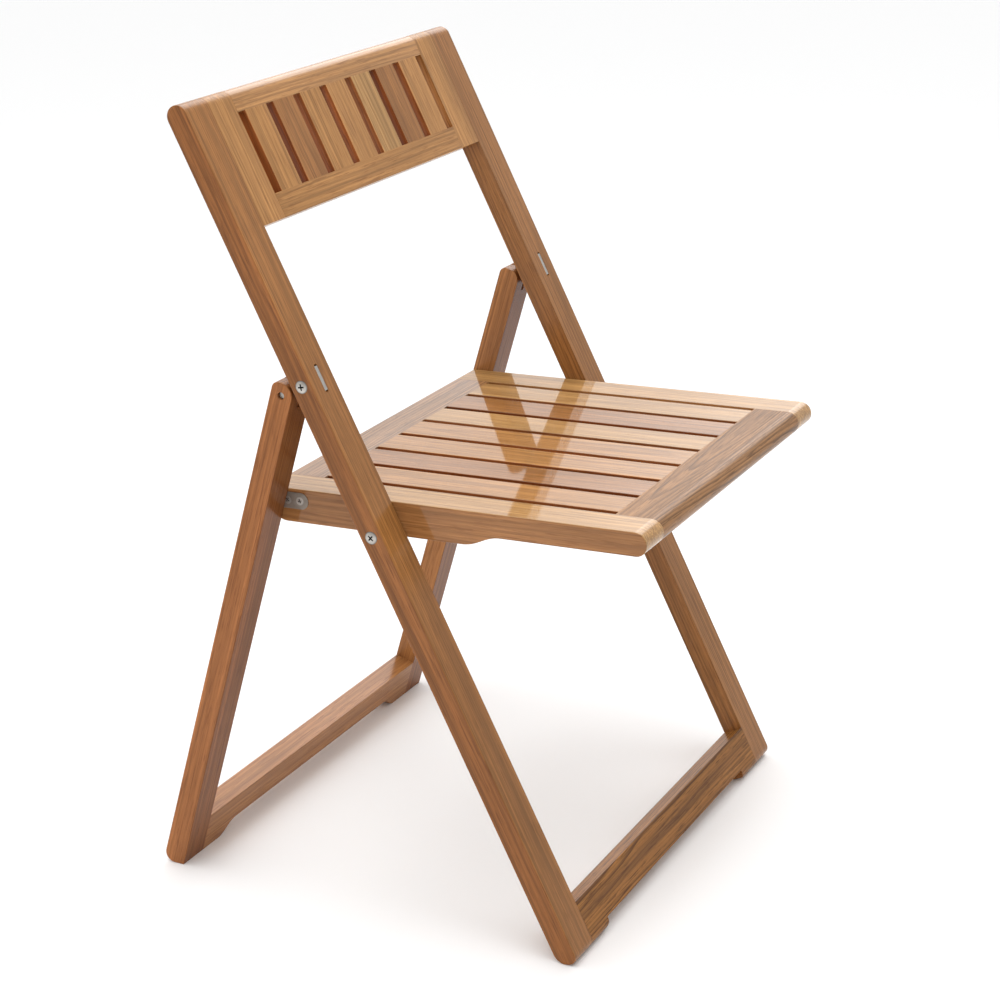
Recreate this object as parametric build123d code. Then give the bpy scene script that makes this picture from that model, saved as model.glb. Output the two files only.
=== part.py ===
from build123d import *
import os
from math import cos, radians, sin, tan

# Folding deck chair in varnished hardwood.
# +Z is up and the front of the chair faces -Y, so the sitter's left is +X.
# The origin is on the floor, in the middle of the chair's outline.
# Every left piece is drawn on the +X side and its right twin is its mirror image.

# ---- Driving dimensions, in millimetres and degrees ----

overall_width = 522.0

# Stiles: long uprights from the front feet to the top of the back
stile_width = 39.5
stile_depth = 23.0
stile_length = 905.1
stile_lean = 27.3
stile_foot_forward = 207.23
foot_rear_radius = 14.0
foot_front_radius = 8.5

# Rear legs
leg_width = 37.5
leg_depth = 24.0
leg_lean = 16.0
leg_outer_inset = 1.75
leg_tip_beyond_pivot = 12.4
leg_tip_front_radius = 12.5
leg_tip_rear_radius = 7.5
leg_foot_radius = 10.5
leg_pivot_setback = 27.5

# Foot rails, one across each pair of feet, relieved between two end pads
front_rail_height = 47.1
front_rail_relief = 10.6
front_pad_length = 40.0
front_pad_radius = 8.0
front_relief_radius = 1.5
rear_rail_height = 45.2
rear_rail_relief = 13.2
rear_pad_length = 60.0
rear_relief_run = 30.0
rear_relief_dip = 0.5
rear_relief_slope = -0.2

# Back panel between the stiles
panel_bottom = 770.3
back_post_width = 39.1
back_rail_height = 25.1
back_slot_width = 12.4
back_slat_thickness = 12.0
slat_count = 7

# Seat
seat_width = 441.0
seat_length = 406.7
seat_tilt = 2.5
seat_thickness = 24.0
seat_rail_width = 40.7
seat_rail_deep = 34.7
deep_start = 192.7
step_length = 42.0
seat_nose_top_radius = 12.0
seat_nose_bottom_radius = 11.8
seat_tail_radius = 20.0
seat_front_rail_width = 49.0
seat_rear_rail_width = 40.5
seat_slot_width = 7.2
seat_slat_thickness = 14.0
seat_pivot_from_front = 268.0
seat_pivot_below_top = 23.9

# Pivots on the stiles, measured up the stile's centre line from the foot
hinge_along_stile = 617.7
seat_pivot_along_stile = 460.1

# Folding travel: the seat's front swings up and the rear legs close on the stiles
seat_fold_travel = 110.0
leg_fold_travel = stile_lean + leg_lean

# Hinge plate let into the stile and reaching back into a kerf in the leg
plate_thickness = 5.0
plate_length = 25.0
plate_front_gap = 0.25
plate_tail_radius = 9.5
plate_slot_play = 0.2
plate_slot_extra_length = 4.0
kerf_below_pivot = 12.5

# Screws and pins
screw_head_radius = 6.5
screw_dome = 1.3
recess_arm = 6.6
recess_blade = 1.5
recess_depth = 3.4
recess_taper = 12.0
hinge_recess_turn = 12.0
seat_recess_turn = 50.0
hinge_screw_shank = 3.0
hinge_screw_length = 32.0
seat_screw_shank = 4.0
seat_screw_length = 55.0
pivot_play = 0.05
glue_gap = 0.02
insert_radius = 6.0
insert_length = 18.0
washer_radius = 9.5
washer_thickness = 0.8
leg_pin_radius = 3.75
leg_pin_recess = 3.0
leg_pin_blind = 3.0
leg_pin_chamfer = 0.6

# Seat bracket: a steel plate on each side rail, with the guide pin at its rear end
bracket_height = 17.0
bracket_start = 361.2
bracket_end = 403.7
bracket_rear_radius = 5.0
bracket_below_top = 11.9
bracket_thickness = 1.6
bracket_proud = 0.6
bracket_screws_along = (370.7, 384.7)
bracket_screw_head = 4.2
bracket_screw_shank = 2.0
bracket_screw_length = 14.0
bracket_recess_arm = 4.6
bracket_recess_blade = 1.1
bracket_recess_depth = 1.5
bracket_recess_turns = (25.0, 55.0)
bracket_screw_dome = 0.05
guide_pin_along = 395.5
guide_pin_radius = 2.5
guide_rivet_radius = 2.0
guide_pin_reach = 7.0
groove_width = 5.8
groove_depth = 8.5

# Joinery and finishing
tenon_length = 26.0
tenon_thickness = 10.0
tenon_shoulder = 7.0
stub_length = 8.0
stub_thickness = 6.0
stub_shoulder = 5.0
outer_ease = 1.2
slat_ease = 0.8
joint_ease = 0.3
path_points = 9
cut_over = 1.0

# ---- Places worked out from the driving dimensions ----

stile_outer = overall_width / 2
stile_inner = stile_outer - stile_width
leg_outer = stile_outer - leg_outer_inset
leg_inner = leg_outer - leg_width
plate_middle = stile_outer - stile_width / 2
rail_outer = seat_width / 2
rail_inner = rail_outer - seat_rail_width
post_inner = stile_inner - back_post_width
bracket_outer = rail_outer + bracket_proud
bracket_inner = bracket_outer - bracket_thickness


# ---- Helpers ----

def side_frame(y, z, angle):
    """Local frame in the side plane: x runs at the angle from +Y, y is square to it, z is +X."""
    along = (0, cos(radians(angle)), sin(radians(angle)))
    return Plane(origin=(0, y, z), x_dir=along, z_dir=(1, 0, 0))


def place(frame, along, across):
    """Point of a side frame as a world point."""
    return frame.from_local_coords(Vector(along, across, 0))


def span(frame, face, low, high):
    """Extrude a face drawn in a side frame from x = low to x = high."""
    return extrude(frame * Pos(0, 0, low) * face, high - low)


def rectangle(along, across):
    """Rectangle in a side frame, from (low, high) limits each way."""
    middle = Pos(sum(along) / 2, sum(across) / 2)
    return middle * Rectangle(along[1] - along[0], across[1] - across[0])


def block(frame, along, across, width):
    """Rectangular block in a side frame, from (low, high) limits each way."""
    return span(frame, rectangle(along, across), *width)


def rod(centre, radius, low, high):
    """Round rod along X through a point of the side plane."""
    circle = Plane(origin=(low, centre.Y, centre.Z), z_dir=(1, 0, 0)) * Circle(radius)
    return extrude(circle, high - low)


def rounded(face, corners):
    """Round named corners of a face: a list of ((along, across), radius)."""
    for corner, radius in corners:
        vertex = min(face.vertices(), key=lambda v: (v.center() - Vector(*corner, 0)).length)
        face = fillet(vertex, radius)
    return face


def ease_ends(solid, outer, inner):
    """Ease the outline of a bar's outer (+X) face and of its inner face."""
    faces = solid.faces().sort_by(Axis.X)
    solid = fillet(faces[-1].edges(), outer)
    faces = solid.faces().sort_by(Axis.X)
    return chamfer(faces[0].edges(), inner)


def ease_along(solid, frame, size):
    """Ease the edges of a solid that run along the x direction of a side frame."""
    return fillet(solid.edges().filter_by(Axis((0, 0, 0), frame.x_dir)), size)


def turned(point, centre, angle):
    """Turn a point of the side plane about a centre by a folding angle."""
    y, z = point.Y - centre.Y, point.Z - centre.Z
    c, s = cos(radians(angle)), sin(radians(angle))
    return Vector(0, centre.Y + c * y + s * z, centre.Z - s * y + c * z)


def mirrored(solid):
    """Twin of a left piece on the sitter's right."""
    return mirror(solid, Plane.YZ)


def screw_profile(length, shank, head, dome, play):
    """Half section of a raised countersunk screw: x is outward, y is the radius."""
    sink = head - shank
    body = Polyline((dome, 0), (-length - play, 0), (-length - play, shank + play),
                    (-sink, shank + play), (0, head + play))
    crown = TangentArc((dome, 0), (0, head + play), tangent=(0, 1))
    return make_face(body + crown)


def screw(centre, outer, length, shank, head, dome, play=0.0):
    """Raised countersunk screw, or with play the hole that it fits, with its head at x = outer."""
    solid = revolve(screw_profile(length, shank, head, dome, play), Axis.X)
    return Pos(outer, centre.Y, centre.Z) * solid


def cross_recess(centre, outer, arm, blade, depth, turn):
    """Tapered cross for a screwdriver, cut inward from x = outer."""
    plane = Plane(origin=(outer, centre.Y, centre.Z), x_dir=(0, 1, 0), z_dir=(-1, 0, 0))
    cross = Rectangle(arm, blade) + Rectangle(blade, arm)
    return extrude(plane * Rot(0, 0, turn) * cross, depth, taper=recess_taper)


# ---- Frame ----

def stile_outline():
    """Side outline of a stile: round top, foot rounded more at the rear than at the front."""
    half = stile_depth / 2
    outline = rectangle((0, stile_length), (-half, half))
    top = half - glue_gap
    corners = [((0, -half), foot_rear_radius), ((0, half), foot_front_radius),
               ((stile_length, half), top), ((stile_length, -half), top)]
    return rounded(outline, corners)


# The stile's frame stands at the height that puts the lowest point of the foot on the floor
foot_low = (side_frame(0, 0, 90 - stile_lean) * stile_outline()).bounding_box().min.Z
stile_frame = side_frame(-stile_foot_forward, -foot_low, 90 - stile_lean)
hinge_point = place(stile_frame, hinge_along_stile, 0)
leg_pivot = place(stile_frame, hinge_along_stile, -leg_pivot_setback)
seat_pivot = place(stile_frame, seat_pivot_along_stile, 0)

# The rear leg stands on the front corner of its foot
leg_slope = radians(leg_lean)
leg_pivot_along = (leg_pivot.Z - leg_depth / 2 * sin(leg_slope)) / cos(leg_slope)
leg_foot_y = leg_pivot.Y + leg_pivot_along * sin(leg_slope) - leg_depth / 2 * cos(leg_slope)
leg_frame = side_frame(leg_foot_y, 0, 90 + leg_lean)

# The seat's frame starts at its front top corner, with x to the rear and y up
seat_turn = side_frame(0, 0, -seat_tilt)
seat_corner = seat_pivot - place(seat_turn, seat_pivot_from_front, -seat_pivot_below_top)
seat_frame = side_frame(seat_corner.Y, seat_corner.Z, -seat_tilt)
guide_pin_point = place(seat_frame, guide_pin_along, -bracket_below_top)


def panel_outline(low):
    """Part of the stile's outline above a height, for the pieces of the back panel."""
    half = stile_depth / 2
    return stile_outline() & rectangle((low, stile_length), (-half, half))


def hinge_screw_hole():
    return screw(hinge_point, stile_outer, hinge_screw_length, hinge_screw_shank,
                 screw_head_radius, screw_dome, glue_gap)


def seat_screw_hole():
    return screw(seat_pivot, stile_outer, seat_screw_length, seat_screw_shank,
                 screw_head_radius, screw_dome, pivot_play)


def plate_slot():
    """Slot through the stile for the hinge plate."""
    width = plate_thickness / 2 + plate_slot_play
    length = plate_length + plate_slot_extra_length
    slot = extrude(Plane.XY * SlotOverall(length, 2 * width), stile_depth, both=True)
    across = Plane(origin=(plate_middle, hinge_point.Y, hinge_point.Z),
                   x_dir=stile_frame.x_dir, z_dir=stile_frame.y_dir)
    return across * slot


def stile():
    bar = span(stile_frame, stile_outline(), stile_inner, stile_outer)
    bar = ease_ends(bar, outer_ease, joint_ease)
    bar = bar - plate_slot() - hinge_screw_hole() - seat_screw_hole()
    return bar - rail_tenon(stile_frame, front_rail_height, stile_inner, glue_gap)


def leg_shift(frame):
    """Offset from a bar's frame to its centre line: the leg's frame lies on its front face."""
    return 0 if frame is stile_frame else leg_depth / 2


def rail_tenon(frame, height, shoulder, gap):
    """Tenon of a foot rail, or with a gap its mortise; the rail's front face is flush."""
    middle = -leg_shift(frame)
    along = (tenon_shoulder + front_rail_relief - gap, height - tenon_shoulder + gap)
    across = (middle - tenon_thickness / 2 - gap, middle + tenon_thickness / 2 + gap)
    return block(frame, along, across, (shoulder, shoulder + tenon_length + gap))


def front_relief(half):
    """Space under the front foot rail: square steps to pads with rounded ends."""
    height = front_rail_relief
    far = half + 2 * front_pad_radius
    outline = make_face(Polyline((0, -height), (far, -height), (far, 0), (half, 0),
                                 (half, height), (0, height), close=True))
    return rounded(outline, [((half, 0), front_pad_radius), ((half, height), front_relief_radius)])


def rear_relief(half):
    """Space under the rear foot rail, with long soft steps to the pads."""
    far = half + rear_relief_run
    step = Spline((half, rear_rail_relief), (far, -rear_relief_dip),
                  tangents=((1, 0), (1, rear_relief_slope)))
    rest = Polyline((far, -rear_relief_dip), (far, -rear_rail_relief), (0, -rear_rail_relief),
                    (0, rear_rail_relief), (half, rear_rail_relief))
    return make_face(step + rest)


def foot_rail(frame, section, height, depth, reach, relief):
    """Cross rail between two feet: its section is the foot of the bar it joins."""
    top = [((height, depth / 2 - leg_shift(frame)), joint_ease),
           ((height, -depth / 2 - leg_shift(frame)), outer_ease)]
    rail = span(frame, rounded(section, top), -reach, reach)
    rail = rail - extrude(relief, 2 * depth, both=True)
    tenon = rail_tenon(frame, height, reach, 0)
    return rail + tenon + mirrored(tenon)


def front_foot_rail():
    section = stile_outline() & rectangle((0, front_rail_height), (-stile_depth, stile_depth))
    half = front_relief(stile_inner - front_pad_length)
    plane = Plane(origin=stile_frame.origin, x_dir=(1, 0, 0), z_dir=stile_frame.y_dir)
    relief = plane * (half + mirror(half, Plane.YZ))
    return foot_rail(stile_frame, section, front_rail_height, stile_depth, stile_inner, relief)


def back_post():
    """Inner post of the back panel, glued to the stile."""
    post = span(stile_frame, panel_outline(panel_bottom), post_inner, stile_inner)
    post = ease_ends(post, joint_ease, joint_ease)
    for low, high in back_rail_spans():
        post = post - back_rail_tenon(low, high, glue_gap)
    return post


def back_rail_spans():
    """Height limits of the bottom and top rails of the back panel."""
    bottom = (panel_bottom, panel_bottom + back_rail_height)
    top = (stile_length - back_rail_height, stile_length)
    return bottom, top


def back_rail_tenon(low, high, gap):
    shoulder = tenon_shoulder - stub_shoulder + joint_ease
    along = (low + shoulder - gap, high - stile_depth / 4 - shoulder + gap)
    across = (-tenon_thickness / 2 - gap, tenon_thickness / 2 + gap)
    return block(stile_frame, along, across, (post_inner, post_inner + tenon_length + gap))


def slat_places(inner, slot):
    """Limits in X of the slats between two side pieces, from the right to the left."""
    width = (2 * inner - (slat_count + 1) * slot) / slat_count
    starts = [-inner + slot + number * (width + slot) for number in range(slat_count)]
    return [(start, start + width) for start in starts]


def slat_stubs(frame, along, front, thickness, place_x, gap):
    """Stub tenons on both ends of a slat, or with a gap their mortises."""
    middle = front - thickness / 2
    across = (middle - stub_thickness / 2 - gap, middle + stub_thickness / 2 + gap)
    width = (place_x[0] + stub_shoulder - gap, place_x[1] - stub_shoulder + gap)
    return block(frame, (along[0] - stub_length - gap, along[1] + stub_length + gap), across, width)


def slat(frame, along, front, thickness, place_x):
    """One slat, flush with the front or top face of its panel."""
    board = block(frame, along, (front - thickness, front), place_x)
    return ease_along(board, frame, slat_ease) + slat_stubs(frame, along, front, thickness, place_x, 0)


def back_slat_span():
    bottom, top = back_rail_spans()
    return bottom[1], top[0]


def back_rail(low, high):
    rail = span(stile_frame, panel_outline(low) & rectangle((low, high), (-stile_depth, stile_depth)),
                -post_inner, post_inner)
    tenon = back_rail_tenon(low, high, 0)
    rail = rail + tenon + mirrored(tenon)
    for place_x in slat_places(post_inner, back_slot_width):
        rail = rail - slat_stubs(stile_frame, back_slat_span(), stile_depth / 2,
                                 back_slat_thickness, place_x, glue_gap)
    return rail


def hinge_plate():
    """Plate through the stile with a round tail that carries the leg's pivot pin."""
    front = stile_depth / 2 - plate_front_gap
    head = rectangle((-plate_length / 2, plate_length / 2), (-stile_depth / 2, front))
    tail = Pos(0, -leg_pivot_setback) * Circle(plate_tail_radius)
    outline = make_hull(head.edges() + tail.edges())
    outline = outline - Circle(hinge_screw_shank + glue_gap)
    outline = outline - Pos(0, -leg_pivot_setback) * Circle(leg_pin_radius + pivot_play)
    outline = Pos(hinge_along_stile, 0) * outline
    half = plate_thickness / 2
    return span(stile_frame, outline, plate_middle - half, plate_middle + half)


def hinge_screw():
    body = screw(hinge_point, stile_outer, hinge_screw_length, hinge_screw_shank,
                 screw_head_radius, screw_dome)
    return body - cross_recess(hinge_point, stile_outer + screw_dome, recess_arm,
                               recess_blade, recess_depth, hinge_recess_turn)


# ---- Rear frame ----

def leg_outline():
    """Side outline of a rear leg, in its own frame with the front face at 0 and a level foot."""
    tip = leg_pivot_along + leg_tip_beyond_pivot
    foot_rear = -leg_depth * tan(leg_slope)
    outline = make_face(Polyline((0, 0), (tip, 0), (tip, -leg_depth), (foot_rear, -leg_depth), close=True))
    corners = [((tip, 0), leg_tip_front_radius), ((tip, -leg_depth), leg_tip_rear_radius),
               ((foot_rear, -leg_depth), leg_foot_radius)]
    return rounded(outline, corners)


def leg_kerf():
    """Saw kerf down the top of the leg for the hinge plate."""
    half = plate_thickness / 2 + plate_slot_play
    along = (leg_pivot_along - kerf_below_pivot, leg_pivot_along + 2 * leg_depth)
    return block(leg_frame, along, (-2 * leg_depth, leg_depth),
                 (plate_middle - half, plate_middle + half))


def guide_pin_path():
    """Path of the seat's guide pin over the leg's inner face as both of them fold."""
    path = []
    for step in range(path_points):
        share = step / (path_points - 1)
        pin = turned(guide_pin_point, seat_pivot, share * seat_fold_travel)
        pin = turned(pin, leg_pivot, -share * leg_fold_travel)
        path.append((pin.Y, pin.Z))
    return Spline(path)


def guide_groove():
    """Curved groove in the leg's inner face, with round ends, that the guide pin runs in."""
    path = guide_pin_path()
    half = groove_width / 2
    sides = []
    for quarter_turn in (90, -90):
        shares = [step / (path_points - 1) for step in range(path_points)]
        sides.append([path @ share + (path % share).rotate(Axis.Z, quarter_turn) * half
                      for share in shares])
    start = ThreePointArc(sides[0][0], path @ 0 - path % 0 * half, sides[1][0])
    end = ThreePointArc(sides[0][-1], path @ 1 + path % 1 * half, sides[1][-1])
    face = make_face([Spline(sides[0]), end, Spline(sides[1]), start])
    return extrude(Plane.YZ.offset(leg_inner) * face, groove_depth)


def rear_leg():
    bar = span(leg_frame, leg_outline(), leg_inner, leg_outer)
    bar = ease_ends(bar, outer_ease, joint_ease)
    bore = rod(leg_pivot, leg_pin_radius + glue_gap, leg_inner + leg_pin_blind, leg_outer + cut_over)
    mortise = rail_tenon(leg_frame, rear_rail_height, leg_inner, glue_gap)
    return bar - leg_kerf() - guide_groove() - bore - mortise


def rear_foot_rail():
    section = leg_outline() & rectangle((-leg_depth, rear_rail_height), (-2 * leg_depth, leg_depth))
    half = rear_relief(leg_inner - rear_pad_length)
    floor_forward = Vector(0, -1, 0)
    plane = Plane(origin=leg_frame.origin, x_dir=(1, 0, 0), z_dir=floor_forward)
    relief = plane * (half + mirror(half, Plane.YZ))
    return foot_rail(leg_frame, section, rear_rail_height, leg_depth, leg_inner, relief)


def leg_pivot_pin():
    pin = rod(leg_pivot, leg_pin_radius, leg_inner + leg_pin_blind, leg_outer - leg_pin_recess)
    return chamfer(pin.faces().sort_by(Axis.X)[-1].edges(), leg_pin_chamfer)


# ---- Seat ----

def seat_nose(face):
    """Round the front edge of a seat piece."""
    return rounded(face, [((0, 0), seat_nose_top_radius), ((0, -seat_thickness), seat_nose_bottom_radius)])


def seat_rail_outline():
    """Side rail: shallow at the front, with a smooth step to a deeper rear half."""
    shallow = deep_start - step_length
    top = Polyline((0, -seat_thickness), (0, 0), (seat_length, 0), (seat_length, -seat_rail_deep),
                   (deep_start, -seat_rail_deep))
    step = Spline((deep_start, -seat_rail_deep), (shallow, -seat_thickness),
                  tangents=((-1, 0), (-1, 0)))
    bottom = Line((shallow, -seat_thickness), (0, -seat_thickness))
    face = seat_nose(make_face(top + step + bottom))
    corners = [((seat_length, -seat_rail_deep), seat_tail_radius), ((seat_length, 0), outer_ease)]
    return rounded(face, corners)


def bracket_outline(play):
    """Bracket: round front end, rear end with rounded corners."""
    half = bracket_height / 2
    face = rectangle((bracket_start, bracket_end), (-half, half))
    corners = [((bracket_start, half), half - glue_gap), ((bracket_start, -half), half - glue_gap),
               ((bracket_end, half), bracket_rear_radius), ((bracket_end, -half), bracket_rear_radius)]
    face = rounded(face, corners)
    if play:
        face = offset(face, play)
    return Pos(0, -bracket_below_top) * face


def seat_cross_tenon(along, gap):
    """Tenon of the seat's front or rear rail, or with a gap its mortise."""
    along = (along[0] + tenon_shoulder - gap, along[1] - tenon_shoulder + gap)
    middle = -seat_thickness / 2
    across = (middle - tenon_thickness / 2 - gap, middle + tenon_thickness / 2 + gap)
    return block(seat_frame, along, across, (rail_inner, rail_inner + tenon_length + gap))


def seat_cross_spans():
    """Limits from the front of the seat's front and rear rails."""
    return (0, seat_front_rail_width), (seat_length - seat_rear_rail_width, seat_length)


def seat_rail():
    bar = span(seat_frame, seat_rail_outline(), rail_inner, rail_outer)
    bar = ease_ends(bar, outer_ease, joint_ease)
    for along in seat_cross_spans():
        bar = bar - seat_cross_tenon(along, glue_gap)
    bar = bar - span(seat_frame, bracket_outline(glue_gap), bracket_inner, rail_outer + cut_over)
    for centre in bracket_screw_points():
        bar = bar - bracket_screw_body(centre, glue_gap)
    socket = rod(seat_pivot, insert_radius + glue_gap, rail_outer - insert_length, rail_outer + cut_over)
    return bar - socket


def seat_slat_span():
    front, rear = seat_cross_spans()
    return front[1], rear[0]


def seat_cross_rail(along, nose):
    face = rectangle(along, (-seat_thickness, 0))
    if nose:
        face = seat_nose(face)
    else:
        face = rounded(face, [((seat_length, 0), outer_ease), ((seat_length, -seat_thickness), outer_ease)])
    rail = span(seat_frame, face, -rail_inner, rail_inner)
    tenon = seat_cross_tenon(along, 0)
    rail = rail + tenon + mirrored(tenon)
    for place_x in slat_places(rail_inner, seat_slot_width):
        rail = rail - slat_stubs(seat_frame, seat_slat_span(), 0, seat_slat_thickness, place_x, glue_gap)
    return rail


def bracket_screw_points():
    return [place(seat_frame, along, -bracket_below_top) for along in bracket_screws_along]


def bracket_screw_body(centre, play=0.0):
    return screw(centre, bracket_outer, bracket_screw_length, bracket_screw_shank,
                 bracket_screw_head, bracket_screw_dome, play)


def seat_bracket():
    plate = span(seat_frame, bracket_outline(0), bracket_inner, bracket_outer)
    for centre in bracket_screw_points():
        plate = plate - bracket_screw_body(centre, glue_gap)
    rivet = (guide_rivet_radius, bracket_inner - cut_over, bracket_outer + cut_over)
    return plate - rod(guide_pin_point, *rivet)


def bracket_screws():
    screws = []
    for centre, turn in zip(bracket_screw_points(), bracket_recess_turns):
        recess = cross_recess(centre, bracket_outer + bracket_screw_dome, bracket_recess_arm,
                              bracket_recess_blade, bracket_recess_depth, turn)
        screws.append(bracket_screw_body(centre) - recess)
    return Compound(children=screws)


def guide_pin():
    """Riveted pin that runs in the leg's groove."""
    pin = rod(guide_pin_point, guide_pin_radius, bracket_outer, leg_inner + guide_pin_reach)
    return pin + rod(guide_pin_point, guide_rivet_radius, bracket_inner, bracket_outer)


def seat_pivot_screw():
    body = screw(seat_pivot, stile_outer, seat_screw_length, seat_screw_shank,
                 screw_head_radius, screw_dome)
    return body - cross_recess(seat_pivot, stile_outer + screw_dome, recess_arm,
                               recess_blade, recess_depth, seat_recess_turn)


def pivot_insert():
    """Brass sleeve in the side rail that the seat pivot screw threads into."""
    inner = rail_outer - insert_length
    sleeve = rod(seat_pivot, insert_radius, inner, rail_outer)
    return sleeve - rod(seat_pivot, seat_screw_shank, inner - cut_over, rail_outer + cut_over)


def pivot_washer():
    outer = rail_outer + washer_thickness
    washer = rod(seat_pivot, washer_radius, rail_outer, outer)
    return washer - rod(seat_pivot, seat_screw_shank, rail_outer - cut_over, outer + cut_over)


# ---- Write every sub-part ----

def all_parts():
    pairs = {
        "stile": stile(), "back_post": back_post(), "hinge_plate": hinge_plate(),
        "hinge_screw": hinge_screw(), "rear_leg": rear_leg(), "leg_pivot_pin": leg_pivot_pin(),
        "seat_rail": seat_rail(), "seat_bracket": seat_bracket(), "bracket_screws": bracket_screws(),
        "guide_pin": guide_pin(), "seat_pivot_screw": seat_pivot_screw(),
        "pivot_insert": pivot_insert(), "pivot_washer": pivot_washer(),
    }
    parts = {}
    for name, solid in pairs.items():
        parts["left_" + name] = solid
        parts["right_" + name] = mirrored(solid)
    bottom, top = back_rail_spans()
    parts["back_bottom_rail"] = back_rail(*bottom)
    parts["back_top_rail"] = back_rail(*top)
    parts["front_foot_rail"] = front_foot_rail()
    parts["rear_foot_rail"] = rear_foot_rail()
    front, rear = seat_cross_spans()
    parts["seat_front_rail"] = seat_cross_rail(front, True)
    parts["seat_rear_rail"] = seat_cross_rail(rear, False)
    for number, place_x in enumerate(slat_places(post_inner, back_slot_width), 1):
        parts[f"back_slat_{number}"] = slat(stile_frame, back_slat_span(), stile_depth / 2,
                                            back_slat_thickness, place_x)
    for number, place_x in enumerate(slat_places(rail_inner, seat_slot_width), 1):
        parts[f"seat_slat_{number}"] = slat(seat_frame, seat_slat_span(), 0,
                                            seat_slat_thickness, place_x)
    return parts


os.makedirs("parts", exist_ok=True)
for name, solid in all_parts().items():
    export_step(solid, f"parts/{name}.step")
print("seat pivot", round(seat_pivot.Y, 4), round(seat_pivot.Z, 4))
print("leg pivot", round(leg_pivot.Y, 4), round(leg_pivot.Z, 4))
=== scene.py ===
from math import cos, radians, sin
from typing import NamedTuple

import bpy
from mathutils import Matrix, Vector


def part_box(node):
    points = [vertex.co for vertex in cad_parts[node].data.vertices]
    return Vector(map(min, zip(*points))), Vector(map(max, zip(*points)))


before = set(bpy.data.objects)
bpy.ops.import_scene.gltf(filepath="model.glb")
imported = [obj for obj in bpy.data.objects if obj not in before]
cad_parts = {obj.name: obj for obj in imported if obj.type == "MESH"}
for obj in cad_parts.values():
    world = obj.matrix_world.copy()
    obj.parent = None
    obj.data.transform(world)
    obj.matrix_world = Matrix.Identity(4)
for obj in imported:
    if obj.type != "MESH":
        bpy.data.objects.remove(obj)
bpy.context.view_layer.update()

# Folding deck chair in clear-varnished teak, with stainless plates and screws.
# Metres, +Z up; the front of the chair faces -Y and the sitter's right is -X.

mm = 0.001

# ---- Directions of the bars, which the grain of each board follows ----

stile_lean = radians(27.3)
leg_lean = radians(16.0)
seat_tilt = radians(2.5)

sideways = Vector((1, 0, 0))
up_stile = Vector((0, sin(stile_lean), cos(stile_lean)))
up_leg = Vector((0, -sin(leg_lean), cos(leg_lean)))
along_seat = Vector((0, cos(seat_tilt), -sin(seat_tilt)))


# ---- Node helpers ----

def fill(tree, node, inputs):
    """Link or set each named input of a node."""
    for socket, value in inputs.items():
        if isinstance(value, bpy.types.NodeSocket):
            tree.links.new(value, node.inputs[socket])
        else:
            node.inputs[socket].default_value = value


def add_node(tree, kind, inputs=None, **options):
    """Add a node, set its options and fill its inputs."""
    made = tree.nodes.new(kind)
    for name, value in options.items():
        setattr(made, name, value)
    fill(tree, made, inputs or {})
    return made


def maths(tree, operation, a, b=0.0):
    return add_node(tree, "ShaderNodeMath", {0: a, 1: b}, operation=operation).outputs[0]


def multiply(tree, product, *factors):
    """Product of all the values."""
    for factor in factors:
        product = maths(tree, "MULTIPLY", product, factor)
    return product


def add_up(tree, total, *parts):
    """Total of a first value and of (value, weight) pairs, each value times its weight."""
    for value, weight in parts:
        total = maths(tree, "ADD", total, multiply(tree, value, weight))
    return total


def vector_maths(tree, operation, a, b=(0, 0, 0)):
    made = add_node(tree, "ShaderNodeVectorMath", {0: a, 1: b}, operation=operation)
    gives_number = operation in ("LENGTH", "DOT_PRODUCT")
    return made.outputs["Value" if gives_number else "Vector"]


def step_up(tree, value, low, high, to_low=0.0, to_high=1.0):
    """Smooth change from to_low to to_high as the value goes from low to high."""
    made = add_node(tree, "ShaderNodeMapRange",
                    {0: value, 1: low, 2: high, 3: to_low, 4: to_high},
                    interpolation_type="SMOOTHSTEP")
    return made.outputs[0]


def blend(tree, factor, first, second, how="MIX"):
    """Mix of two colours."""
    made = add_node(tree, "ShaderNodeMix", {0: factor, 6: first, 7: second},
                    data_type="RGBA", blend_type=how)
    return made.outputs[2]


def noise(tree, position, waves, detail=2.0, roughness=0.5):
    """Noise value with so many waves a metre in each direction."""
    place = vector_maths(tree, "MULTIPLY", position, waves)
    made = add_node(tree, "ShaderNodeTexNoise",
                    {"Vector": place, "Scale": 1.0, "Detail": detail, "Roughness": roughness})
    return made.outputs[0]


def coordinates(tree):
    """Outputs of a Texture Coordinate node."""
    return add_node(tree, "ShaderNodeTexCoord").outputs


def apart(tree, value):
    """The x, y and z of a position or direction."""
    return add_node(tree, "ShaderNodeSeparateXYZ", {0: value}).outputs


def bump(tree, strength, depth, height):
    """Surface direction over a fine relief that is so deep in metres."""
    made = add_node(tree, "ShaderNodeBump",
                    {"Strength": strength, "Distance": depth, "Height": height})
    return made.outputs[0]


def new_group(name, inputs, outputs):
    """Empty shader node group with named sockets: (tree, its inputs, its output node)."""
    tree = bpy.data.node_groups.new(name, "ShaderNodeTree")
    for socket, (kind, value) in inputs.items():
        made = tree.interface.new_socket(socket, in_out="INPUT", socket_type=kind)
        made.default_value = value
    for socket, kind in outputs.items():
        tree.interface.new_socket(socket, in_out="OUTPUT", socket_type=kind)
    entry = tree.nodes.new("NodeGroupInput")
    return tree, entry.outputs, tree.nodes.new("NodeGroupOutput")


def new_material(name, inputs=None):
    """Material whose shader has these inputs: (material, its node tree, the shader)."""
    material = bpy.data.materials.new(name)
    material.use_nodes = True
    tree = material.node_tree
    surface = tree.nodes["Principled BSDF"]
    fill(tree, surface, inputs or {})
    return material, tree, surface


number, colour, vector = "NodeSocketFloat", "NodeSocketColor", "NodeSocketVector"


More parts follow.
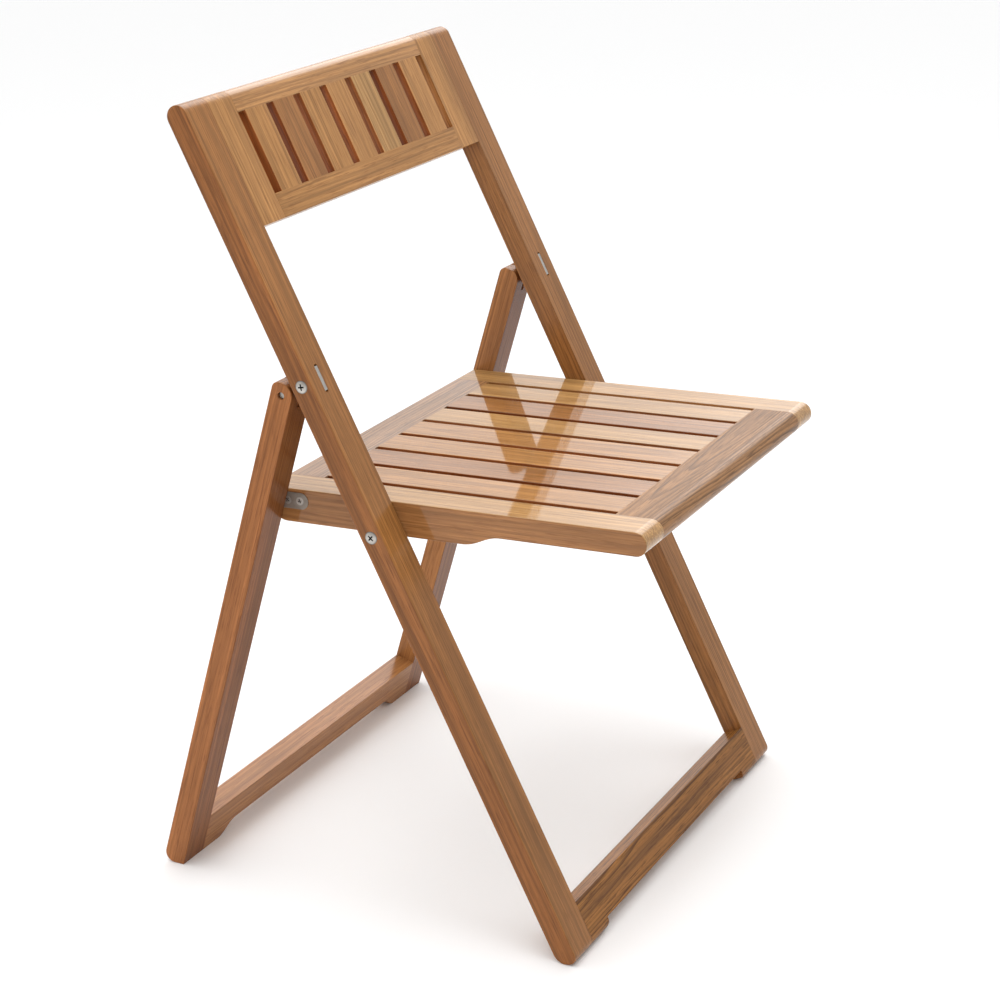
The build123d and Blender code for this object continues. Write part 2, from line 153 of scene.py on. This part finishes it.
# ---- Teak ----

# Waves a metre of each mark in the wood, along the grain and across it
marks = {"wander": (2.4, 11), "ripple": (9, 120), "fibre": (3.5, 420), "strands": (2.4, 270),
         "pores": (55, 1300), "flecks": (26, 560), "bands": (0.9, 60), "cloud": (5, 16)}

ring_wander = 22 * mm
ring_ripple = 1.4 * mm
weakest_ring = 0.15
pore_darkness = 0.5
fleck_darkness = 0.7

# Painted shade: the side faces of a board and the front face of a leg are made darker and redder
side_painted_shade = (0.76, 0.48, 0.42, 1)
front_painted_shade = (0.56, 0.46, 0.40, 1)


def teak_grain_group():
    """Solid teak: x of the board position runs along the grain, y across and z through the board."""
    tree, given, result = new_group(
        "Teak grain",
        {"Board Position": (vector, (0, 0, 0)), "Seed": (number, 0.0),
         "Pale Wood": (colour, (0.6, 0.4, 0.2, 1)), "Dark Wood": (colour, (0.3, 0.15, 0.06, 1)),
         "Streak Wood": (colour, (0.25, 0.15, 0.1, 1)), "Ring Spacing": (number, 0.003),
         "Ring Contrast": (number, 0.5), "Streaks": (number, 0.3),
         "Side Face": (number, 0.0), "Front Face": (number, 0.0),
         "Heart Across": (number, 0.0), "Heart Behind": (number, 0.05),
         "Heart Drift": (number, 0.0)},
        {"Color": colour, "Roughness": number, "Height": number, "Varnish": number})
    position, seed, dark_wood = given["Board Position"], given["Seed"], given["Dark Wood"]
    shift = add_node(tree, "ShaderNodeCombineXYZ", {0: seed, 1: seed, 2: seed})
    sample = vector_maths(tree, "ADD", position, shift.outputs[0])

    def mark(name, detail=2.0, roughness=0.5):
        """Noise drawn out along the grain at the scale of one mark."""
        along, across = marks[name]
        return noise(tree, sample, (along, across, across), detail, roughness)

    # Growth rings round a heart line beside the board, which wanders along the grain
    lengthways, widthways, inwards = apart(tree, position)
    wander = maths(tree, "SUBTRACT", mark("wander"), 0.5)
    across_heart = maths(tree, "SUBTRACT", widthways, given["Heart Across"])
    behind_heart = maths(tree, "SUBTRACT", inwards, given["Heart Behind"])
    behind_heart = add_up(tree, behind_heart, (lengthways, given["Heart Drift"]))
    radial = add_node(tree, "ShaderNodeCombineXYZ", {1: across_heart, 2: behind_heart})
    radius = add_up(tree, vector_maths(tree, "LENGTH", radial.outputs[0]),
                    (wander, ring_wander), (mark("ripple"), ring_ripple))

    # Each ring darkens slowly, ends sharply and has a strength of its own
    phase = maths(tree, "DIVIDE", radius, given["Ring Spacing"])
    season = maths(tree, "FRACT", phase)
    late_wood = multiply(tree, step_up(tree, season, 0.25, 0.86),
                         step_up(tree, season, 0.88, 1.0, 1.0, 0.0))
    ring_number = maths(tree, "ADD", maths(tree, "FLOOR", phase), seed)
    lot = add_node(tree, "ShaderNodeTexWhiteNoise", {"W": ring_number}, noise_dimensions="1D")
    strength = add_up(tree, weakest_ring, (lot.outputs[0], 1 - weakest_ring))
    rings = multiply(tree, late_wood, strength, given["Ring Contrast"])

    # Fibres, pores, short dark flecks and broad bands
    fibre = mark("fibre", 4.0, 0.62)
    strands = mark("strands", 4.0, 0.7)
    pores = step_up(tree, mark("pores"), 0.56, 0.70)
    flecks = step_up(tree, mark("flecks", 2.0, 0.6), 0.55, 0.68)
    bands = step_up(tree, mark("bands", 3.0, 0.6), 0.46, 0.70)
    cloud = mark("cloud")

    shade = blend(tree, rings, given["Pale Wood"], dark_wood)
    shade = blend(tree, multiply(tree, bands, given["Streaks"]), shade, given["Streak Wood"])
    fibre_tone = step_up(tree, fibre, 0.25, 0.75, 0.84, 1.14)
    strand_tone = step_up(tree, strands, 0.30, 0.70, 0.75, 1.23)
    cloud_tone = step_up(tree, cloud, 0.2, 0.8, 0.90, 1.09)
    tone = multiply(tree, fibre_tone, strand_tone, cloud_tone)
    grey = add_node(tree, "ShaderNodeCombineXYZ", {0: tone, 1: tone, 2: tone})
    shade = blend(tree, 1.0, shade, grey.outputs[0], "MULTIPLY")
    for spots, darkness in ((pores, pore_darkness), (flecks, fleck_darkness)):
        shade = blend(tree, multiply(tree, spots, darkness), shade, dark_wood)
    # Painted shade on the side faces, and on the front face of a leg
    for face, painted_shade in (("Side Face", side_painted_shade), ("Front Face", front_painted_shade)):
        shade = blend(tree, given[face], shade, painted_shade, "MULTIPLY")

    fill(tree, result, {
        "Color": shade,
        "Roughness": add_up(tree, 0.34, (fibre, 0.16), (pores, 0.12)),
        "Height": add_up(tree, 0.0, (fibre, 0.7), (pores, -0.5), (rings, -0.25)),
        "Varnish": step_up(tree, cloud, 0.1, 0.9, 0.82, 1.0)})
    return tree


teak_grain = teak_grain_group()

# Shades of teak: pale wood, dark rings, and the broad streaks between them
shades = {
    "straw": ((0.41, 0.225, 0.080), (0.24, 0.115, 0.036), (0.27, 0.145, 0.056)),
    "honey": ((0.38, 0.182, 0.056), (0.21, 0.088, 0.024), (0.25, 0.12, 0.040)),
    "walnut": ((0.31, 0.155, 0.062), (0.10, 0.046, 0.018), (0.14, 0.072, 0.036)),
    "umber": ((0.32, 0.135, 0.034), (0.07, 0.026, 0.008), (0.10, 0.042, 0.015)),
    "russet": ((0.38, 0.165, 0.055), (0.22, 0.086, 0.028), (0.27, 0.115, 0.040)),
    "fawn": ((0.30, 0.128, 0.036), (0.16, 0.062, 0.017), (0.20, 0.088, 0.029)),
}


class Board(NamedTuple):
    """How one board is sawn and finished."""

    shade: str
    along: Vector                # the way its grain runs
    across: Vector = sideways    # the way across its face
    heart: tuple = (0, 60)       # mm from the board to the heart of the tree, across and behind
    drift: float = 0.0           # how fast the heart line leaves the board along its length
    spacing: float = 3.2         # mm between growth rings
    contrast: float = 0.5        # strength of the rings
    streaks: float = 0.3         # strength of the broad bands
    side: float = 0.42           # how much painted shade its side faces get
    front: float = 0.0           # how much painted shade its front face gets
    varnish: float = 0.7         # strength of the clear coat
    coat_roughness: float = 0.2


def teak(node, board, seed):
    """Varnished teak for one board, with its grain along the board."""
    material, tree, surface = new_material("Teak " + node.replace("_", " "))
    low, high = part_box(node)
    turn = Matrix((board.along, board.across, board.along.cross(board.across)))
    centre = turn @ ((low + high) / 2)
    place = coordinates(tree)
    mapped = add_node(tree, "ShaderNodeMapping", {"Vector": place["Object"], "Location": -centre,
                                                  "Rotation": turn.to_euler()})
    # Which way each face looks, for the painted shade on side faces and front faces
    facing_left, facing_back, _ = apart(tree, place["Normal"])
    facing_side = maths(tree, "ABSOLUTE", facing_left)
    facing_front = multiply(tree, facing_back, -1.0)
    pale, dark, streak = [(*tone, 1) for tone in shades[board.shade]]
    heart_across, heart_behind = board.heart
    grain = add_node(tree, "ShaderNodeGroup", {
        "Board Position": mapped.outputs[0], "Seed": seed,
        "Pale Wood": pale, "Dark Wood": dark, "Streak Wood": streak,
        "Ring Spacing": board.spacing * mm, "Ring Contrast": board.contrast,
        "Streaks": board.streaks,
        "Side Face": step_up(tree, facing_side, 0.55, 0.85, 0.0, board.side),
        "Front Face": step_up(tree, facing_front, 0.5, 0.8, 0.0, board.front),
        "Heart Across": heart_across * mm, "Heart Behind": heart_behind * mm,
        "Heart Drift": board.drift}, node_tree=teak_grain).outputs
    fill(tree, surface, {
        "Base Color": grain["Color"], "Roughness": grain["Roughness"],
        "Normal": bump(tree, 0.35, 0.25 * mm, grain["Height"]),
        "IOR": 1.45, "Specular IOR Level": 0.02,
        "Coat Weight": multiply(tree, grain["Varnish"], board.varnish),
        "Coat Roughness": board.coat_roughness, "Coat IOR": 1.42})
    return material


# The seat is flatted and polished, its nose and the top of the back nearly so;
# the rest keeps a satin brush coat
seat_finish = {"coat_roughness": 0.05, "varnish": 1.0}
# The front faces of the legs get the full painted shade
leg_finish = {"contrast": 0.35, "streaks": 0.15, "front": 1.0, "varnish": 0.5}

boards = {
    "right_stile": Board("fawn", up_stile, heart=(70, 30), spacing=2.6),
    "left_stile": Board("fawn", up_stile, heart=(-60, 40), spacing=2.6, contrast=0.6, side=0.1),
    "right_back_post": Board("honey", up_stile, heart=(40, 50)),
    "left_back_post": Board("honey", up_stile, heart=(-50, 40)),
    "back_top_rail": Board("honey", sideways, up_stile, heart=(40, 40), coat_roughness=0.1,
                           varnish=1.0),
    "back_bottom_rail": Board("honey", sideways, up_stile, heart=(-40, 30), contrast=0.6),
    "front_foot_rail": Board("umber", sideways, up_stile, heart=(30, 45), contrast=0.9,
                             streaks=0.6, varnish=0.4),
    "rear_foot_rail": Board("russet", sideways, up_leg, heart=(20, 70), contrast=0.3,
                            streaks=0.15),
    "right_rear_leg": Board("russet", up_leg, heart=(60, 40), **leg_finish),
    "left_rear_leg": Board("russet", up_leg, heart=(-60, 40), side=0.1, **leg_finish),
    "right_seat_rail": Board("straw", along_seat, heart=(50, 60), side=0.6, **seat_finish),
    "left_seat_rail": Board("straw", along_seat, heart=(-50, 60), side=0.6, **seat_finish),
    "seat_front_rail": Board("walnut", sideways, along_seat, heart=(10, 24), drift=0.05,
                             contrast=0.8, streaks=0.5, coat_roughness=0.12, varnish=0.45),
    "seat_rear_rail": Board("walnut", sideways, along_seat, heart=(30, 40), **seat_finish),
}

# Slats from the sitter's right to the left, each sawn beside a different part of the heart
back_shades = ("honey", "fawn", "honey", "honey", "straw", "fawn", "honey")
seat_shades = ("honey", "fawn", "honey", "honey", "straw", "fawn", "straw")
heart_step = 23
heart_range = 60
# The side faces of each slat, the walls of the slots between the slats, get the full painted shade
for slat, (back_shade, seat_shade) in enumerate(zip(back_shades, seat_shades), 1):
    off_heart = (slat * heart_step) % heart_range - heart_range / 2
    boards[f"back_slat_{slat}"] = Board(back_shade, up_stile, heart=(off_heart, 50), side=1.0)
    boards[f"seat_slat_{slat}"] = Board(seat_shade, along_seat, heart=(off_heart, 70), side=1.0,
                                       **seat_finish)

seed_step = 1.7
for order, (node, board) in enumerate(boards.items()):
    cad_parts[node].data.materials[0] = teak(node, board, seed_step * order)


# ---- Metal and plastic ----

brush_waves = (120, 5200, 5200)
haze_waves = (160, 160, 160)
nylon_waves = (220, 220, 220)
handled_darkness = 0.82


def brushed_steel(name, tone, along, roughness):
    """Metal with fine brush lines along a direction and a faint handled haze."""
    bright = (*tone, 1)
    handled = (*[handled_darkness * part for part in tone], 1)
    material, tree, surface = new_material(
        name, {"Base Color": bright, "Metallic": 1.0, "Roughness": roughness})
    turn = Matrix((along, sideways, along.cross(sideways)))
    mapped = add_node(tree, "ShaderNodeMapping", {"Vector": coordinates(tree)["Object"],
                                                  "Rotation": turn.to_euler()}).outputs[0]
    lines = noise(tree, mapped, brush_waves, 3.0)
    haze = noise(tree, mapped, haze_waves, 3.0)
    fill(tree, surface, {
        "Base Color": blend(tree, step_up(tree, haze, 0.3, 0.75), bright, handled),
        "Roughness": add_up(tree, roughness - 0.09, (lines, 0.18), (haze, 0.12)),
        "Normal": bump(tree, 0.25, 0.05 * mm, lines)})
    return material


def screw_head_steel():
    """Satin steel with painted shade on its steep faces, the cross and the rim of the head."""
    material = brushed_steel("Stainless screws", (0.52, 0.49, 0.45), along_seat, 0.34)
    tree = material.node_tree
    surface = tree.nodes["Principled BSDF"]
    satin = surface.inputs["Base Color"].links[0].from_socket
    outwards = maths(tree, "ABSOLUTE", apart(tree, coordinates(tree)["Normal"])[0])
    # Painted shade: the steep faces of the cross and of the rim are made dark
    steep = step_up(tree, outwards, 0.925, 0.955, 1.0, 0.0)
    fill(tree, surface, {"Base Color": blend(tree, steep, satin, (0.10, 0.085, 0.07, 1))})
    return material


def nylon_material():
    """Off-white nylon, a little uneven in tone and gloss."""
    material, tree, surface = new_material(
        "Nylon washer", {"Base Color": (0.72, 0.70, 0.66, 1), "Roughness": 0.5})
    cloud = noise(tree, coordinates(tree)["Object"], nylon_waves, 3.0)
    fill(tree, surface, {
        "Base Color": blend(tree, cloud, (0.66, 0.64, 0.59, 1), (0.78, 0.76, 0.72, 1)),
        "Roughness": step_up(tree, cloud, 0.2, 0.8, 0.42, 0.58)})
    return material


plate_steel = brushed_steel("Brushed stainless plate", (0.50, 0.48, 0.45), up_stile, 0.36)
bracket_steel = brushed_steel("Tumbled bracket steel", (0.34, 0.30, 0.26), along_seat, 0.40)
screw_steel = screw_head_steel()
pin_steel = brushed_steel("Stainless pins", (0.42, 0.40, 0.37), along_seat, 0.30)
brass = brushed_steel("Turned brass", (0.62, 0.42, 0.17), sideways, 0.30)
nylon = nylon_material()

fittings = {"hinge_plate": plate_steel, "seat_bracket": bracket_steel,
            "hinge_screw": screw_steel, "seat_pivot_screw": screw_steel,
            "bracket_screws": screw_steel, "guide_pin": pin_steel, "leg_pivot_pin": pin_steel,
            "pivot_insert": brass, "pivot_washer": nylon}
for piece, finish in fittings.items():
    for side in ("left_", "right_"):
        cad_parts[side + piece].data.materials[0] = finish


# ---- Studio ----

def area_light(name, place, target, size, power):
    data = bpy.data.lights.new(name, "AREA")
    data.shape = "SQUARE"
    data.size = size
    data.energy = power
    lamp = bpy.data.objects.new(name, data)
    bpy.context.scene.collection.objects.link(lamp)
    lamp.location = place
    aim = Vector(target) - Vector(place)
    lamp.rotation_euler = aim.to_track_quat("-Z", "Y").to_euler()


def make_floor():
    bpy.ops.mesh.primitive_plane_add(size=24, location=(0, 0, 0))
    floor = bpy.context.object
    floor.name = "floor"
    material, _, _ = new_material("Pale studio floor", {
        "Base Color": (0.9, 0.9, 0.9, 1), "Roughness": 0.9, "Specular IOR Level": 0.1})
    floor.data.materials.append(material)


def make_world():
    """White studio: a broad lit sweep behind the chair and a bright soft panel up to its left."""
    world = bpy.data.worlds.new("Studio")
    bpy.context.scene.world = world
    world.use_nodes = True
    tree = world.node_tree
    direction = coordinates(tree)["Generated"]

    def towards(x, y, z):
        """1 straight towards a side of the studio, 0 at right angles to it, -1 away from it."""
        return vector_maths(tree, "DOT_PRODUCT", direction, Vector((x, y, z)).normalized())

    sweep = step_up(tree, towards(0.6, 0.75, 0.28), -0.3, 0.85, to_low=0.55, to_high=1.4)
    panel = step_up(tree, towards(0.84, 0.16, 0.52), 0.93, 0.985, to_high=2.5)
    fill(tree, tree.nodes["Background"],
         {"Color": (1, 1, 1, 1), "Strength": maths(tree, "ADD", sweep, panel)})


def make_camera(azimuth, elevation, distance, target, roll, lens):
    """Camera at an azimuth and elevation round a target, all angles in degrees."""
    a, e = radians(azimuth), radians(elevation)
    back = Vector((sin(a) * cos(e), -cos(a) * cos(e), sin(e)))
    data = bpy.data.cameras.new("camera")
    data.sensor_width = 36
    data.lens = lens
    data.clip_end = 60
    camera = bpy.data.objects.new("camera", data)
    bpy.context.scene.collection.objects.link(camera)
    camera.location = Vector(target) + back * distance
    upright = (-back).to_track_quat("-Z", "Y").to_matrix()
    camera.rotation_euler = (upright @ Matrix.Rotation(radians(roll), 3, "Z")).to_euler()
    bpy.context.scene.camera = camera


make_floor()
make_world()
area_light("top light", place=(-0.3, -0.2, 2.6), target=(0, 0, 0.3), size=2.4, power=40)
area_light("left light", place=(-2.6, -1.6, 1.6), target=(0, 0, 0.4), size=1.8, power=10)
make_camera(azimuth=-63.116, elevation=20.046, distance=2.5056, target=(0, -0.00151, 0.36349),
            roll=-0.1425, lens=86.063)
bpy.context.scene.view_settings.view_transform = "Standard"
